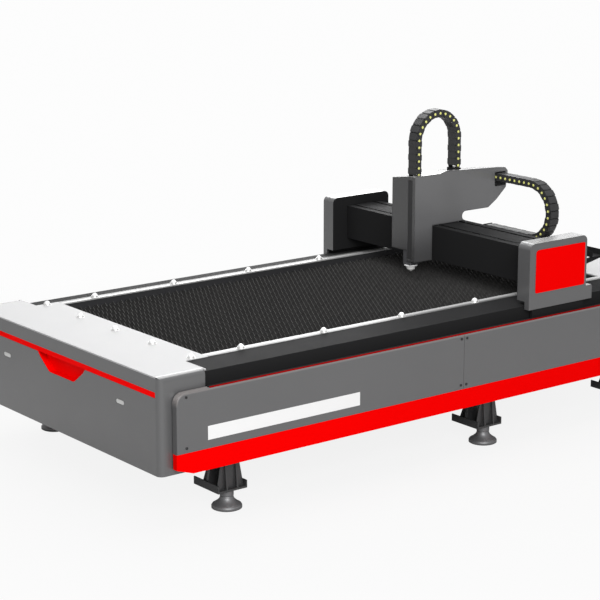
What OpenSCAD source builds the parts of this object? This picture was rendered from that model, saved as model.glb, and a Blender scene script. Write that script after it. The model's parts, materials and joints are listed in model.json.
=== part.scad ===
// Open flatbed laser cutting machine with a travelling gantry.
// +X runs along the bed from the front cover, +Z is up, millimetres.

/* [Bed] */
// length over both end covers
bed_l = 4208; // [4206:2:5400]
// width over both side panels
bed_w = 2126; // [1760:2:2600]
// height of the deck above the floor
deck_z = 860; // [800:5:1040]
// depth of the front cover along X
end_l = 306; // [250:2:380]
// depth of the rear cover along X
rear_l = 90; // [80:1:91]
// step from the side panel in to the end cover
end_step = 46; // [40:1:60]
// height of the lower edge of covers and skirts
skirt_z = 297; // [240:1:340]
// height where the red skirt meets the side panel
skirt_top = 421; // [380:1:460]
// height of the side panel's top edge
panel_top = 764; // [730:1:780]
// radius of the panel's upper end corners
panel_r = 60; // [20:5:90]
// joint in the side panels, from the middle of the bed
panel_joint = 77; // [-100:1:200]
// sheet thickness of panels and covers
sheet_t = 3; // [2:0.5:4]

/* [Slat pit] */
// front face to the front edge of the slat pit
pit_front = 469; // [420:1:560]
// length of the slat pit
pit_l = 3187; // [2600:1:3900]
// side panel face in to the pit edge
side_zone = 312; // [300:1:380]
// width of the bright edge strip
strip_w = 61; // [56:1:90]
// thickness of strips and deck plates
deck_t = 8; // [6:1:12]
// spacing of the slats
slat_pitch = 60; // [40:5:90]
// height of a slat
slat_h = 100; // [80:5:120]
// thickness of a slat
slat_t = 4; // [3:0.5:6]
// slat tips below the deck
slat_drop = 25; // [15:1:40]
// spacing of the teeth along a slat
tooth_pitch = 50; // [40:1:100]
// depth of the teeth
tooth_h = 20; // [12:1:35]
// spacing of the ball units along the strips
ball_pitch = 600; // [400:10:900]
// diameter of a transfer ball
ball_d = 38; // [30:1:40]

/* [Feet] */
// end face in to the first and the last foot
foot_in = 498; // [400:2:560]
// middle foot from the middle of the bed
foot_mid = 362; // [0:2:500]
// diameter of a bell foot
foot_d = 176; // [140:2:200]
// height of a bell foot
foot_h = 56; // [45:1:70]
// diameter of a levelling stud
stud_d = 24; // [20:1:30]
// side length of a foot bracket plate
bracket_w = 200; // [160:5:240]
// height of a foot bracket plate
bracket_z = 93; // [85:1:120]

/* [X axis] */
// width of an X guide rail
xrail_w = 23; // [20:1:30]
// height of an X guide rail
xrail_h = 22; // [18:1:26]
// height of an X block above the rail seat
xblock_h = 40; // [36:1:45]
// width of an X block
xblock_w = 70; // [50:1:80]
// length of an X block
xblock_l = 90; // [70:1:110]
// centre spacing of the two X blocks on a side
xblock_gap = 350; // [280:5:360]
// pitch radius of the rack pinions
pinion_r = 25; // [22:0.5:28]
// tooth module of racks and pinions
gear_m = 2.5; // [2:0.5:3]
// travel of the gantry
x_travel = 3000; // [2400:10:3200]

/* [Gantry] */
// head axis at rest, from the middle of the bed
head_x = 662; // [300:2:900]
// length of an end housing
hous_l = 500; // [460:5:600]
// width of an end housing
hous_w = 108; // [90:1:120]
// top of an end housing
hous_top = 1235; // [1200:1:1300]
// lower edge of an end housing
hous_bot = 816; // [800:1:840]
// tail of the housing's lower part
hous_tail = 55; // [30:1:80]
// front corner radius of a housing
hous_r = 38; // [10:1:40]
// thickness of a gantry leg
leg_t = 20; // [15:1:25]
// head axis to the beam tube
beam_off = 132; // [128:1:160]
// beam tube width along X
beam_w = 260; // [220:5:320]
// beam tube height
beam_h = 170; // [140:5:210]
// lower face of the beam tube
beam_z = 950; // [930:1:980]
// wall of the beam tube
beam_wall = 8; // [6:1:12]
// beam cover in front of the tube
cover_gap_x = 20; // [16:1:30]
// top of the beam cover above the tube
cover_up = 50; // [46:1:60]
// slots in the beam cover for the carriage
slot_w = 20; // [16:1:30]

/* [Carriage] */
// middle of the carriage at rest
car_y = 133; // [60:1:200]
// width of the carriage cover
car_w = 226; // [210:2:260]
// head axis behind the cover's front face
head_back = 50; // [45:1:60]
// top of the cover at the front
car_top = 1516; // [1470:2:1560]
// length of the arm behind the head axis
arm_l = 783; // [740:1:860]
// under side of the arm
arm_z = 1236; // [1225:1:1260]
// travel of the carriage
y_travel = 1450; // [1200:10:1450]
// width of a Y or Z guide rail
yrail_w = 15; // [12:1:20]
// height of a Y or Z block above its seat
yblock_h = 28; // [26:1:32]

/* [Head] */
// head axis from the middle of the bed at rest, along Y
head_y = 108; // [90:1:130]
// nozzle tip above the deck at rest
tip_up = 4; // [2:1:10]
// diameter of the pale flange
flange_d = 89; // [70:1:95]
// diameter of the nozzle holder
holder_d = 57; // [40:1:60]
// width of the head body
head_w = 76; // [66:1:78]
// lift above the rest height
z_up = 100; // [60:5:110]
// drop below the rest height
z_down = 15; // [5:1:18]

/* [Cable chains] */
// chain width over its side plates
chain_w = 80; // [60:2:90]
// chain height over its side plates
chain_h = 50; // [40:2:56]
// bend radius of the standing loop
zchain_r = 173.5; // [150:0.5:180]
// straight part of the standing loop's legs
zchain_leg = 220; // [150:5:300]
// bend radius of the lying loop
ychain_r = 183; // [150:1:190]
// lower run of the lying loop above the floor
ychain_z = 1070; // [1060:1:1090]
// bend of the lying loop at rest, along Y
ychain_y = -300; // [-340:1:-260]

/* [Hidden] */
$fn = 48;
e = 0.3;                                  // gap between pieces of different bodies
XF = -bed_l/2; XR = bed_l/2; YP = bed_w/2;
YC = YP - end_step;                       // end cover side
y_pit = YP - side_zone;
y_tube_in = y_pit + 9;                    // inner face of main and edge tubes
edge_w = strip_w - 11; y_edge = y_tube_in + edge_w;
y_strip = y_pit + strip_w;
y_main = YP - 63;                         // outer face of the main tubes
main_z0 = skirt_z + 3; seat_t = 10; main_z1 = deck_z - 220;
rail_z = main_z1 + seat_t;                // rail seat
hous_out = YP - 39; hous_in = hous_out - hous_w;
leg_out = hous_out - 12; leg_in = leg_out - leg_t;
trim_in = leg_out + 18; trim_h = 14;
cov_out = leg_in - 13; cov_drop = 24; cov_low = deck_z - 125; cov_t = 2;
rail_y = (y_edge + cov_out)/2;
base_t = 16; base_z = rail_z + xblock_h;  // moving base plate
notch_x = XF + end_l + 10; notch_r = XR - rear_l;
pit_x0 = XF + pit_front; pit_x1 = pit_x0 + pit_l;
strip_z = deck_z - deck_t;
tip_z = deck_z - slat_drop; slat_z = tip_z - slat_h;
slat_n = floor((pit_l - 60)/slat_pitch) + 1;
slat_x0 = pit_x0 + 37;
slat_hw = y_pit - 7;
ball_x0 = pit_x0 + 251.5; ball_n = floor((pit_x1 - 60 - ball_x0)/ball_pitch) + 1;
x_fwd = pit_x1 - 90 - head_x; x_back = x_travel - x_fwd;
// gantry stations
hx0 = head_x - 13; hx1 = hx0 + hous_l; hxt = hx1 + hous_tail;
bx0 = head_x + beam_off; bx1 = bx0 + beam_w; beam_top = beam_z + beam_h;
bcx0 = bx0 - cover_gap_x; bcx1 = bx1 + 18; bcz0 = beam_z - 8; bcz1 = beam_top + cover_up;
lx0 = hx0 + 43; lx1 = lx0 + 450;          // leg plate
base_w = leg_in - (y_edge + 23);
xb1 = (lx0 + lx1)/2 - xblock_gap/2; xb2 = xb1 + xblock_gap;
xm = (lx0 + lx1)/2;                       // X motor
pin_z = base_z + base_t + 44;             // X pinion axis
rack_top = pin_z - pinion_r - gear_m - 0.6;
pin_y1 = y_edge + 18; pin_y0 = y_edge + 2;
yr1 = bx0 + 40; yr2 = bx1 - 40;           // Y rails
ry_h = 15; yrail_end = hous_in - 16;
// carriage stations
cy0 = car_y - car_w/2; cy1 = car_y + car_w/2;
cfx = head_x - head_back;                 // cover front
fp_t = 14; fpx1 = bcx0 - 14; fpx0 = fpx1 - fp_t;
bridge_z = bcz1 + 8; bridge_t = 14; br_x1 = yr2 + 16;
py0 = cy0 + 12; py1 = cy1 - 12;
plate_z0 = deck_z + 100; plate_z1 = bridge_z + 72;
zr1 = car_y - 58; zr2 = car_y + 58;
sl_t = 12; slx1 = fpx0 - yblock_h; slx0 = slx1 - sl_t;
scr_x = fpx0 - 14;                        // Z screw axis
tip0 = deck_z + tip_up;
hb_z0 = tip0 + 48; hb_z1 = hb_z0 + 388;
arm_x = head_x + arm_l;
yp_r = 20; yp_x = bx1 + 22 + yp_r; yp_z = beam_top - 22;
slot_r = (arm_z - bcz1 - 4)/2; slot_x = head_x + 404;
zlx = head_x + 21; zrx = zlx + 2*zchain_r; zc_y = head_y - 3;
zl_z = car_top - 3; zr_z = car_top + 8;
link_l = 46; link_t = 3.6; pin_d = 9; ear_r = chain_h*0.36; ear_h = ear_r + e;
zr_p = zr_z + ear_h;
zc_top = zl_z + zchain_leg;
yc_x0 = head_x + 675; yc_x = yc_x0 + chain_w/2; yc_cz = ychain_z + ychain_r; yc_up = yc_cz + ychain_r;
yc_end = car_y - 23; yc_in = cy1 - 46;
yc_drop = 37;                             // room below the chain where it curves away at full travel
tray_y0 = -(hous_in - 12); tray_y1 = yc_end + 50;

// block between two corners
module bx(x0, x1, y0, y1, z0, z1) translate([x0, y0, z0]) cube([x1 - x0, y1 - y0, z1 - z0]);
// profile in X and Z drawn out along Y
module ext_y(y0, y1) translate([0, y1, 0]) rotate([90, 0, 0]) linear_extrude(y1 - y0) children();
// profile in Y and Z drawn out along X
module ext_x(x0, x1) translate([x0, 0, 0]) rotate([90, 0, 90]) linear_extrude(x1 - x0) children();
// both sides of the bed
module pair() { children(); mirror([0, 1, 0]) children(); }
// rectangle with a radius on each corner: lower left, lower right, upper right, upper left
module rr(x0, x1, z0, z1, r) {
    c = [[x0, z0, 1, 1], [x1, z0, -1, 1], [x1, z1, -1, -1], [x0, z1, 1, -1]];
    difference() {
        translate([x0, z0]) square([x1 - x0, z1 - z0]);
        for (i = [0:3]) if (r[i] > 0) difference() {
            translate([c[i][0] + (c[i][2] < 0 ? -r[i] : -1), c[i][1] + (c[i][3] < 0 ? -r[i] : -1)]) square([r[i] + 1, r[i] + 1]);
            translate([c[i][0] + c[i][2]*r[i], c[i][1] + c[i][3]*r[i]]) circle(r[i]);
        }
    }
}
// hollow rectangular tube profile
module tube2(y0, y1, z0, z1, t) difference() {
    translate([y0, z0]) square([y1 - y0, z1 - z0]);
    translate([y0 + t, z0 + t]) square([y1 - y0 - 2*t, z1 - z0 - 2*t]);
}
// waisted guide rail profile, foot on the line z = 0
module rail2(w, h) polygon([[-w/2, 0], [w/2, 0], [w/2, h*0.35], [w/2 - w*0.1, h*0.5], [w/2 - w*0.1, h*0.68], [w/2, h*0.8], [w/2, h], [-w/2, h], [-w/2, h*0.8], [-w/2 + w*0.1, h*0.68], [-w/2 + w*0.1, h*0.5], [-w/2, h*0.35]]);
// toothed wheel profile with narrow teeth
module gear2(r, m, n) {
    a = 360/n;
    polygon([for (i = [0:n - 1]) for (p = [[-0.29, r - 1.25*m], [-0.13, r + m], [0.13, r + m], [0.29, r - 1.25*m]]) [p[1]*cos((i + p[0])*a), p[1]*sin((i + p[0])*a)]]);
}

// ---- bed ----
module side_tubes() color("dimgray") pair() {
    ext_x(XF + 26, XR - 26) tube2(y_tube_in, y_main, main_z0, main_z1, 12);
    bx(rx0 - 16, rx1 + 16, rail_y - 35, rail_y + 35, main_z1, rail_z);
}
module cross_members() color("dimgray") {
    n = 6;
    for (i = [0:n]) let (x = pit_x0 - 40 + i*(pit_l + 80)/n) translate([x, 0, 0]) ext_y(-y_tube_in, y_tube_in) tube2(-40, 40, main_z0 + 30, main_z0 + 150, 6);
    for (x = [XF + 60, XR - 60]) translate([x, 0, 0]) ext_y(-y_tube_in, y_tube_in) tube2(-34, 34, strip_z - 60, strip_z, 5);
    for (x = [pit_x0 - 30, pit_x1 + 30]) translate([x, 0, 0]) ext_y(-y_tube_in, y_tube_in) tube2(-30, 30, main_z1 - 40, strip_z, 6);
    for (x = [(pit_x1 + XR)/2]) translate([x, 0, 0]) ext_y(-y_tube_in, y_tube_in) tube2(-34, 34, strip_z - 60, strip_z, 5);
}
module edge_tubes() color("dimgray") pair() ext_x(XF + 26, XR - 26) tube2(y_tube_in, y_edge, main_z1, strip_z, 6);

foot_y = y_main - 60;
module feet_at() for (x = [XF + foot_in, foot_mid, XR - foot_in], s = [-1, 1]) translate([x, s*foot_y, 0]) children();
module foot_brackets() color("black") feet_at() {
    difference() {
        bx(-bracket_w/2, bracket_w/2, -bracket_w/2, bracket_w/2, bracket_z, bracket_z + 12);
        translate([0, 0, bracket_z - 1]) cylinder(d = stud_d + 2, h = 14);
    }
    // folded end flanges
    for (s = [-1, 1]) bx(s*(bracket_w/2 - 4) - 4, s*(bracket_w/2 - 4) + 4, -bracket_w/2, bracket_w/2, bracket_z + 12, bracket_z + 48);
    // webs up to the frame
    for (s = [-1, 1]) ext_y(s*44 - 5, s*44 + 5) polygon([[-bracket_w/2 + 8, bracket_z + 12], [bracket_w/2 - 8, bracket_z + 12], [bracket_w/2 - 42, main_z0], [-bracket_w/2 + 42, main_z0]]);
    for (s = [-1, 1]) translate([s*36, 0, 0]) ext_x(-5, 5) polygon([[-bracket_w/2 + 4, bracket_z + 12], [-49, bracket_z + 12], [-49, main_z0], [-60, main_z0]]);
    for (s = [-1, 1]) translate([s*36, 0, 0]) ext_x(-5, 5) polygon([[bracket_w/2 - 4, bracket_z + 12], [49, bracket_z + 12], [49, main_z0], [60, main_z0]]);
}
module foot_studs() color("silver") feet_at() translate([0, 0, foot_h - 12]) cylinder(d = stud_d, h = bracket_z + 70 - foot_h);
module foot_nuts() color("silver") feet_at() {
    for (z = [bracket_z - 19, bracket_z + 12]) translate([0, 0, z]) difference() {
        cylinder(d = stud_d*1.7, h = 19, $fn = 6);
        translate([0, 0, -1]) cylinder(d = stud_d, h = 21);
    }
}
module bell_feet() color("gray") feet_at() rotate_extrude() difference() {
    polygon([[0, 0], [foot_d/2 - 3, 0], [foot_d/2, 3], [foot_d/2, 10], [foot_d*0.36, 20], [foot_d*0.26, 30], [foot_d*0.19, 42], [foot_d*0.17, foot_h], [0, foot_h]]);
    translate([-1, foot_h - 12]) square([stud_d/2 + 1, 20]);
}

p0 = XF + end_l - 225; p1 = -p0;           // panel ends along X
pj = [p0, panel_joint, p1];
module panel_xz(i, d) rr(pj[i] + (i == 0 ? d : 1), pj[i + 1] - (i == 1 ? d : 1), skirt_top + 1 + d, panel_top - d, [0, 0, i == 1 ? panel_r - d : 0, i == 0 ? panel_r - d : 0]);
module side_panels() color("gray") pair() for (i = [0:1]) difference() {
    ext_y(YP - 38, YP) panel_xz(i, 0);
    ext_y(YP - 39, YP - sheet_t) panel_xz(i, sheet_t);
}
module skirts() color("red") pair() difference() {
    ext_y(YP - 38, YP - 2) polygon([[p0, skirt_z + 36], [p0 + 110, skirt_z], [p1 - 110, skirt_z], [p1, skirt_z + 36], [p1, skirt_top], [p0, skirt_top]]);
    ext_y(YP - 39, YP - 2 - sheet_t) polygon([[p0 + sheet_t, skirt_z + 38], [p0 + 111, skirt_z + sheet_t], [p1 - 111, skirt_z + sheet_t], [p1 - sheet_t, skirt_z + 38], [p1 - sheet_t, skirt_top - sheet_t], [p0 + sheet_t, skirt_top - sheet_t]]);
}
module panel_mounts() color("dimgray") pair() {
    n = 7;
    for (i = [0:n]) let (x = p0 + 60 + i*(p1 - p0 - 120)/n, y0 = x - 20 < XF + end_l ? YC + e : y_main) {
        for (z = [skirt_top + 30, main_z1 - 60]) bx(x - 20, x + 20, y0, YP - sheet_t, z, z + 30);
        bx(x - 20, x + 20, y0, YP - 2 - sheet_t, skirt_z + 45, skirt_z + 75);
    }
}
module top_trims() color("red") pair() ext_x(XF + end_l, notch_r) rr(trim_in, YP - 2, panel_top, panel_top + trim_h, [0, 0, 8, 0]);
// screw heads in pairs at the panel joints and at the panel corners
module panel_screws() color("black") pair() for (x = [pj[0] + 66, pj[1] - 22, pj[1] + 22, pj[2] - 66], z = [skirt_top + 28, panel_top - 26]) translate([x, YP + 3, z]) rotate([90, 0, 0]) difference() {
    cylinder(d = 16, h = 3);
    translate([0, 0, -1]) cylinder(d = 7, h = 3, $fn = 6);
}

stripe_z0 = deck_z - 120; stripe_h = 33; grip_h = 100; grip_w0 = 530; grip_w1 = 270; grip_r = 60; end_r = 35; fold_r = 30;
latch_l = 84; latch_h = 30; latch_y = 628; latch_z = skirt_z + 341; latch_seat = 1.6;
// plan of an end cover of depth l, corners rounded at the end face
module end_sheet(l, d) rr(XF + d, XF + l + (d > 0 ? 1 : 0), -YC + d, YC - d, [end_r - d, 0, 0, end_r - d]);
// finger recess outline in Y and Z: sloping shoulders and round lower corners
module grip2(g) {
    zb = stripe_z0 - grip_h - g; w = grip_w1/2 + g;
    polygon(concat([[-grip_w0/2 - g, stripe_z0 + 1], [-grip_w0/2 + 24 - g, stripe_z0 - 26]],
        [for (a = [30:-6:0]) [-w - grip_r*(sin(a) - 0.25), zb + grip_r*(1 - cos(a))]],
        [for (a = [0:6:30]) [w + grip_r*(sin(a) - 0.25), zb + grip_r*(1 - cos(a))]],
        [[grip_w0/2 - 24 + g, stripe_z0 - 26], [grip_w0/2 + g, stripe_z0 + 1]]));
}
module end_cover(l) {
    difference() {
        translate([0, 0, skirt_z]) linear_extrude(strip_z - skirt_z) end_sheet(l, 0);
        translate([0, 0, skirt_z + sheet_t]) linear_extrude(strip_z - skirt_z) end_sheet(l, sheet_t);
        bx(XF + 75, XF + l + 1, -YC + 60, YC - 60, skirt_z - 1, skirt_z + 10);
        pair() ext_x(XF - 1, XF + l + 1) difference() {
            translate([YC - fold_r, deck_z - fold_r]) square(fold_r + 1);
            translate([YC - fold_r, deck_z - fold_r]) circle(fold_r);
        }
        children();
    }
    // rounded fold along both side edges, level with the deck plate
    intersection() {
        translate([0, 0, deck_z - fold_r - 6]) linear_extrude(fold_r + 7) end_sheet(l, 0);
        pair() ext_x(XF - 1, XF + l + 1) difference() {
            rr(YC - end_r, YC, deck_z - fold_r - 5, deck_z, [0, 0, fold_r, 0]);
            rr(YC - end_r - 1, YC - sheet_t, deck_z - fold_r - 6, deck_z - sheet_t, [0, 0, fold_r - sheet_t, 0]);
        }
    }
}
module front_cover() color("gray") end_cover(end_l) {
    bx(XF - 1, XF + 10, -YC + end_r, YC - end_r, stripe_z0, stripe_z0 + stripe_h);
    ext_x(XF - 1, XF + 10) grip2(0);
    // pressed seats of the two flush latches
    for (s = [-1, 1]) translate([XF - 1, s*latch_y, latch_z]) rotate([90, 0, 90]) linear_extrude(1 + latch_seat) {
        square([latch_l - latch_h, latch_h], center = true);
        for (t = [-1, 1]) translate([t*(latch_l - latch_h)/2, 0]) circle(d = latch_h);
    }
}
// red channel behind the stripe slot, with the finger recess under it
module front_insert() color("red") {
    difference() {
        bx(XF + sheet_t, XF + sheet_t + 3, -YC + end_r, YC - end_r, stripe_z0 - 14, stripe_z0 + stripe_h + 14);
        ext_x(XF - 1, XF + 10) grip2(0);
    }
    difference() {
        ext_x(XF + sheet_t, XF + 50) grip2(3);
        ext_x(XF + sheet_t - 1, XF + 47) grip2(0);
    }
}
module rear_cover() color("gray") mirror([1, 0, 0]) end_cover(rear_l);
module front_deck() color("lightgray") {
    bx(XF, XF + end_l, -YC + end_r, YC - end_r, strip_z, deck_z);
    bx(XF + end_l, notch_x, -YC + 7, YC - 7, strip_z, deck_z);
    bx(notch_x, pit_x0, -y_strip, y_strip, strip_z, deck_z);
}
module rear_deck() color("lightgray") {
    bx(notch_r, XR, -YC + end_r, YC - end_r, strip_z, deck_z);
    bx(pit_x1, notch_r, -y_strip, y_strip, strip_z, deck_z);
}
module edge_strips() color("white") pair() bx(pit_x0, pit_x1, y_pit, y_strip, strip_z, deck_z);
module rail_covers() color("black") pair() ext_x(notch_x, notch_r) polygon([[y_strip, deck_z - 2], [cov_out, deck_z - cov_drop], [cov_out, cov_low], [cov_out - cov_t, cov_low], [cov_out - cov_t, deck_z - cov_drop - cov_t], [y_strip + cov_t, deck_z - 2 - cov_t - 0.3], [y_strip + cov_t, deck_z - 60], [y_strip, deck_z - 60]]);

module ball_at() {
    for (i = [0:ball_n - 1], s = [-1, 1]) translate([ball_x0 + i*ball_pitch, s*(y_pit + strip_w/2), deck_z]) children();
    for (i = [-2:2], x = [pit_x0 - 93, pit_x1 + 93]) translate([x, i*(y_pit + strip_w/2)/2, deck_z]) children();
}
ball_up = 8; ball_r = ball_d/2;
module ball_cups() color("silver") ball_at() rotate_extrude() difference() {
    polygon([[0, 0], [ball_r + 7, 0], [ball_r + 7, 2], [ball_r + 3.5, 3], [ball_r + 2, ball_up + 3], [0, ball_up + 3]]);
    translate([0, ball_up]) circle(d = ball_d + 0.2);
}
module transfer_balls() color("white") ball_at() translate([0, 0, ball_up]) difference() {
    sphere(d = ball_d - 0.4);
    bx(-ball_d, ball_d, -ball_d, ball_d, -ball_d, e - ball_up);
}

// saw-tooth slats across the pit
tooth_n = floor((2*slat_hw - 20)/tooth_pitch);
slat_m = (2*slat_hw - tooth_n*tooth_pitch)/2;
module slat2() polygon(concat([[-slat_hw, slat_z], [slat_hw, slat_z], [slat_hw, tip_z - tooth_h]],
    [for (i = [0:tooth_n - 1]) for (p = [[0, tooth_h], [0.5, 0]]) [slat_hw - slat_m - (i + p[0])*tooth_pitch, tip_z - p[1]]],
    [[-slat_hw + slat_m, tip_z - tooth_h], [-slat_hw, tip_z - tooth_h]]));
module slats() color("dimgray") for (i = [0:slat_n - 1]) translate([slat_x0 + i*slat_pitch, 0, 0]) ext_x(-slat_t/2, slat_t/2) slat2();
// ledge with a notched comb that holds the slats upright
module slat_combs() color("dimgray") pair() {
    bx(pit_x0, pit_x1, y_tube_in - 70, y_tube_in, slat_z - 6, slat_z);
    ext_y(y_tube_in - 40, y_tube_in - 34) difference() {
        translate([pit_x0, slat_z]) square([pit_l, 40]);
        for (i = [0:slat_n - 1]) translate([slat_x0 + i*slat_pitch - slat_t/2 - 0.5, slat_z - 1]) square([slat_t + 1, 50]);
    }
    bx(pit_x0, pit_x1, y_tube_in - 70, y_tube_in - 64, slat_z - 40, slat_z - 6);
}
module slag_trays() color("gray") {
    n = 3; w = (pit_l + 80)/n;
    for (i = [0:n - 1]) let (x0 = pit_x0 - 40 + i*w + 6, x1 = x0 + w - 12, z = main_z0 + 150) difference() {
        ext_x(max(x0, pit_x0 + 4), min(x1, pit_x1 - 4)) polygon([[-y_pit + 120, z], [y_pit - 120, z], [y_pit - 70, z + 90], [-y_pit + 70, z + 90]]);
        ext_x(max(x0, pit_x0 + 4) + 3, min(x1, pit_x1 - 4) - 3) polygon([[-y_pit + 122, z + 3], [y_pit - 122, z + 3], [y_pit - 73, z + 91], [-y_pit + 73, z + 91]]);
    }
}
rx0 = pit_x0 + 7; rx1 = rx0 + x_travel + 620;
module x_rails() color("silver") pair() translate([0, rail_y, rail_z]) ext_x(rx0, rx1) rail2(xrail_w, xrail_h);
module x_racks() color("gray") pair() bx(rx0, rx1, y_edge, y_edge + 20, rack_top - 25, rack_top);
sx0 = lx0 - x_back; sx1 = lx1 + x_fwd;
module end_stops() color("dimgray") pair() {
    y = rail_y + 62;
    bx(sx0 - 75, sx0 - 30, y - 15, y + 15, main_z1, base_z + base_t + 4);
    translate([sx0 - 30, y, base_z + 4]) rotate([0, 90, 0]) cylinder(d = 24, h = 24);
    bx(sx1 + 30, sx1 + 75, y - 15, y + 15, main_z1, base_z + base_t + 4);
    translate([sx1 + 6, y, base_z + 4]) rotate([0, 90, 0]) cylinder(d = 24, h = 24);
}

// ---- gantry ----
module beam() color("dimgray") difference() {
    bx(bx0, bx1, -leg_in, leg_in, beam_z, beam_top);
    bx(bx0 + beam_wall, bx1 - beam_wall, -leg_in - 1, leg_in + 1, beam_z + beam_wall, beam_top - beam_wall);
}
module beam_covers() color("black") {
    y = hous_in - 0.5;
    // front sheet folded over the top and bottom edges
    bx(bcx0, bcx0 + 2, -y, y, bcz0, bcz1);
    bx(bcx0, yr1 - slot_w/2, -y, y, bcz1 - 2, bcz1);
    bx(bcx0, bx0, -y, y, bcz0, bcz0 + 2);
    // rear sheet and its top lip
    bx(bcx1 - 2, bcx1, -y, y, beam_top + 16, bcz1);
    bx(yr2 + slot_w/2, bcx1, -y, y, bcz1 - 2, bcz1);
    // strip between the rail slots
    bx(yr1 + slot_w/2, yr2 - slot_w/2, -y, y, bcz1 - 2, bcz1);
    // stand-offs on the beam tube
    for (i = [-1, 1]) for (j = [0:2]) let (yy = i*(y - 12)) {
        bx([bcx0 + 2, (yr1 + yr2)/2 - 20, bcx1 - 22][j], [bx0, (yr1 + yr2)/2 + 20, bcx1 - 2][j], yy - 10, yy + 10, [beam_z, beam_top, beam_top][j], [bcz1 - 2, bcz1 - 2, bcz1 - 2][j]);
    }
    for (i = [-3:3]) bx((yr1 + yr2)/2 - 20, (yr1 + yr2)/2 + 20, i*240 - 15, i*240 + 15, beam_top, bcz1 - 2);
    for (i = [-3:3]) bx(bcx0 + 2, bx0, i*240 - 15, i*240 + 15, beam_z, beam_z + 60);
}
module gantry_legs() color("black") pair() {
    // leg plate with lightening holes
    difference() {
        ext_y(leg_in, leg_out) polygon([[lx0, base_z], [lx1, base_z], [lx1, beam_top - 40], [lx1 - 60, beam_top + 20], [lx0 + 60, beam_top + 20], [lx0, beam_top - 40]]);
        for (x = [(lx0 + bx0)/2 - 4, lx1 - 42]) translate([x, leg_in - 1, beam_z + 60]) rotate([-90, 0, 0]) cylinder(d = 44, h = leg_t + 2);
    }
    // base plate over the bearing blocks
    bx(lx0, lx1, y_edge + 23, leg_in, base_z, base_z + base_t);
    // motor plate
    difference() {
        bx(xm - 50, xm + 50, pin_y1 + 6, pin_y1 + 14, base_z + base_t, pin_z + 46);
        translate([xm, pin_y1 + 5, pin_z]) rotate([-90, 0, 0]) cylinder(d = 18, h = 10);
    }
    for (x = [lx0 + 30, lx1 - 30]) translate([x, 0, 0]) ext_x(-6, 6) polygon([[leg_in, base_z + base_t], [cov_out - 40, base_z + base_t], [leg_in, cov_low - 8]]);
}
module x_blocks() color("silver") pair() for (x = [xb1, xb2]) translate([x, rail_y, rail_z]) ext_x(-xblock_l/2, xblock_l/2) difference() {
    rr(-xblock_w/2, xblock_w/2, 5, xblock_h, [4, 4, 0, 0]);
    translate([-xrail_w/2 - e, 0]) square([xrail_w + 2*e, xrail_h + e]);
}
module x_motors() color("black") pair() {
    y0 = pin_y1 + 14;
    translate([xm, y0, pin_z]) rotate([-90, 0, 0]) { cylinder(d = 60, h = 30); }
    bx(xm - 35, xm + 35, y0 + 26, cov_out - cov_t - 8, pin_z - 35, pin_z + 35);
    translate([xm, pin_y1 + e, pin_z]) rotate([-90, 0, 0]) cylinder(d = 13, h = 14);
}
module x_pinion_at(s) translate([xm, s < 0 ? -pin_y1 : pin_y0 + 0, pin_z]) rotate([-90, 0, 0]) difference() {
    linear_extrude(pin_y1 - pin_y0) rotate(4.5) gear2(pinion_r, gear_m, 20);
    translate([0, 0, -1]) cylinder(d = 14, h = 30);
}
module x_pinion_near() color("silver") { x_pinion_at(-1); translate([xm, -pin_y1, pin_z]) rotate([-90, 0, 0]) cylinder(d = 14, h = pin_y1 - pin_y0 - 2); }
module x_pinion_far() color("silver") { x_pinion_at(1); translate([xm, pin_y0 + 2, pin_z]) rotate([-90, 0, 0]) cylinder(d = 14, h = pin_y1 - pin_y0 - 2); }
// outline of a housing in X and Z, with the longer lower part at the back
module hous_xz(d) {
    rr(hx0 + d, hx1 - d, hous_bot - (d > 0 ? 1 : 0), hous_top - d, [0, 0, hous_r - d, hous_r - d]);
    rr(hx0 + d, hxt - d, hous_bot - (d > 0 ? 1 : 0), hous_bot + 90 - d, [0, 0, 8, 0]);
}
// room for the rail cover
module rail_room() {
    bx(hx0 - 1, hxt + 1, hous_in - 1, cov_out + 6, hous_bot - 1, deck_z + 6);
    bx(hx1 - 1, hxt + 1, hous_in - 1, cov_out + 6, hous_bot - 1, hous_bot + 91);
}
module housings() color("gray") pair() difference() {
    ext_y(hous_in + 3, hous_out) hous_xz(0);
    ext_y(hous_in + 2, hous_out - 3) hous_xz(3);
    rail_room();
}
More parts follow.
